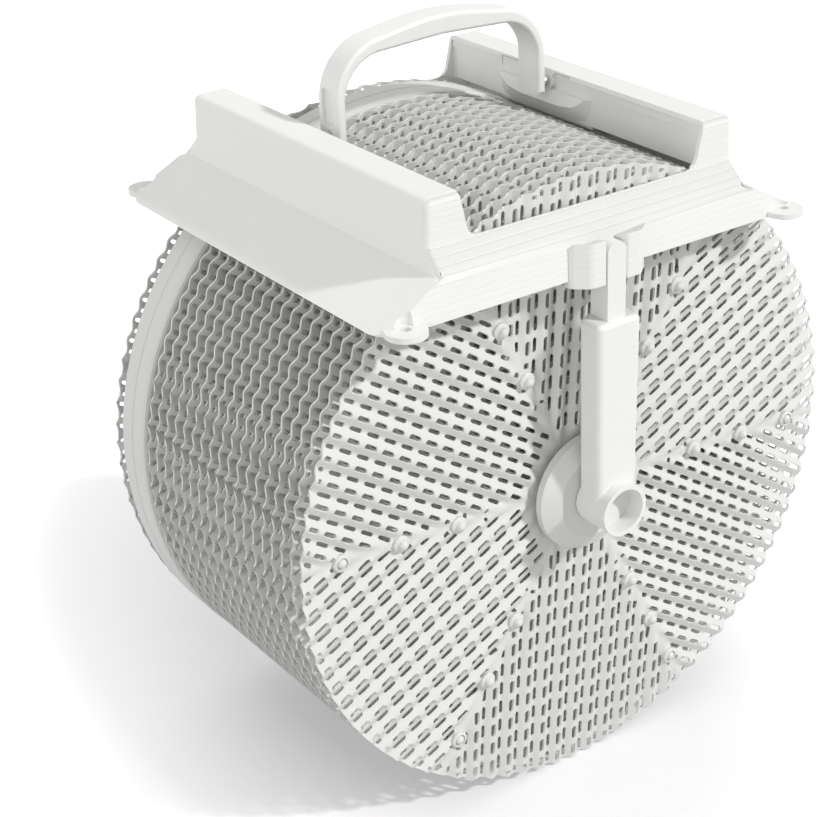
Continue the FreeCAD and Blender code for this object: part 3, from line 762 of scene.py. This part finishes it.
def paper(name, color, bounce, glow):
    """Studio paper with a painted glow that is seen directly: weakest near the object, where its shadow
    shows, and stronger away from it, where the glow paints the shadow out.

    The glow grows in two rings; each is given by its start, its width and its strength.
    """
    material, tree = new_material(name)
    seen = seen_directly(tree)
    middle, squash = 0.02, 0.527
    x, y, _ = add(tree, "ShaderNodeSeparateXYZ", None, [add(tree, "ShaderNodeTexCoord")["Object"]])
    y = (y - middle) * squash
    away = (x * x + y * y).math("SQRT")
    # painted light: the floor glows more the farther it lies from the object, fading the object's shadow
    # out
    light = glow
    for start, width, strength in ((0.09, 0.09, 0.25), (0.165, 0.05, 0.2)):
        light = ((away - start) / width).clamped() * strength + light
    shown = add(tree, "ShaderNodeBsdfDiffuse", None, {"Color": (*color, 1)})[0]
    hidden = add(tree, "ShaderNodeBsdfDiffuse", None, {"Color": (bounce, bounce, bounce, 1)})[0]
    lit = add(tree, "ShaderNodeEmission", None, {"Color": (1, 1, 1, 1), "Strength": light})[0]
    both = add(tree, "ShaderNodeAddShader", None, [shown, lit])[0]
    surface = add(tree, "ShaderNodeMixShader", None, [seen, hidden, both])[0]
    add(tree, "ShaderNodeOutputMaterial", None, {"Surface": surface})
    return material


def lay_floor(glow):
    half, low = 6.0, CAD_BOX[0][2] - 0.2 * MM
    mesh = bpy.data.meshes.new("floor")
    corners = [(-half, -half, low), (half, -half, low), (half, half, low), (-half, half, low)]
    mesh.from_pydata(corners, [], [(0, 1, 2, 3)])
    floor = object_of("floor", mesh)
    give(floor, paper("floor paper", (0.64, 0.632, 0.65), 0.55, glow))


def studio_world(power):
    """A world that is white to the eye and lights with less."""
    world = bpy.data.worlds.new("studio")
    world.use_nodes = True
    tree = world.node_tree
    tree.nodes.clear()
    strength = seen_directly(tree) * (1.0 - power) + power
    sky = add(tree, "ShaderNodeBackground", None, {"Color": (1, 1, 1, 1), "Strength": strength})[0]
    add(tree, "ShaderNodeOutputWorld", None, {"Surface": sky})
    return world


def hang_lamp(name, power, spread, towards):
    """A far lamp: its power, how wide it looks in degrees and the direction in which it hangs."""
    light = bpy.data.lights.new(name, "SUN")
    light.energy = power
    light.angle = math.radians(spread)
    light.color = (1.0, 0.99, 0.975)
    lamp = object_of(name, light)
    lamp.rotation_euler = Vector(towards).to_track_quat("Z", "Y").to_euler()


def camera_matrix(place, turn):
    """The camera's matrix from its place, heading, pitch and roll."""
    heading, pitch, roll = turn
    flat = math.cos(pitch)
    back = Vector((math.sin(heading) * flat, -math.cos(heading) * flat, math.sin(pitch)))
    right = Vector((math.cos(heading), math.sin(heading), 0))
    up = back.cross(right)
    side = right * math.cos(roll) + up * math.sin(roll)
    top = up * math.cos(roll) - right * math.sin(roll)
    return Matrix.Translation(place) @ Matrix((side, top, back)).transposed().to_4x4()


class StageOperator(bpy.types.Operator):
    """Lay the floor, hang the lamps and set the camera"""

    bl_idname = "disc_filter.stage"
    bl_label = "Stage"

    def execute(self, context):
        stage = context.scene.disc_stage
        lay_floor(stage.floor_glow)
        context.scene.world = studio_world(stage.sky_power)
        hang_lamp("key", stage.key_power, 4, (0.68, -1.0, 0.95))
        hang_lamp("side", stage.side_power, 50, (-1.0, -0.5, 0.2))
        hang_lamp("back", stage.back_power, 60, (-1.0, 0.9, 0.1))
        hang_lamp("top", stage.top_power, 60, (0.0, 0.3, 1.0))
        lens = bpy.data.cameras.new("camera")
        lens.sensor_width = 36
        lens.angle = stage.camera_field
        lens.shift_x, lens.shift_y = stage.camera_shift
        lens.clip_start = 0.01
        camera = object_of("camera", lens)
        camera.matrix_world = camera_matrix(stage.camera_place, stage.camera_turn)
        context.scene.camera = camera
        context.scene.view_settings.view_transform = "Standard"
        return {"FINISHED"}


GROUPS = {"disc_sizes": DiscSizes, "disc_finish": Finish, "disc_stage": Stage}
STEPS = (DiscsOperator, FrameOperator, HangersOperator, HandleOperator, InsidesOperator, StageOperator)


class FilterPanel(bpy.types.Panel):
    """Lists the making steps and their sizes"""

    bl_idname = "VIEW3D_PT_disc_filter"
    bl_label = "Disc filter"
    bl_space_type = "VIEW_3D"
    bl_region_type = "UI"
    bl_category = "Disc filter"

    def draw(self, context):
        for step in STEPS:
            self.layout.operator(step.bl_idname)
        for key, group in GROUPS.items():
            box = self.layout.box()
            for name in group.__annotations__:
                box.prop(getattr(context.scene, key), name)


def register():
    for item in (*GROUPS.values(), *STEPS, FilterPanel):
        bpy.utils.register_class(item)
    for name, group in GROUPS.items():
        setattr(bpy.types.Scene, name, bpy.props.PointerProperty(type=group))


def unregister():
    for name in GROUPS:
        delattr(bpy.types.Scene, name)
    for item in (FilterPanel, *reversed(STEPS), *reversed(GROUPS.values())):
        bpy.utils.unregister_class(item)


def main():
    """Register the add-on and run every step."""
    register()
    for step in STEPS:
        area, name = step.bl_idname.split(".")
        getattr(getattr(bpy.ops, area), name)()


if __name__ == "__main__":
    main()
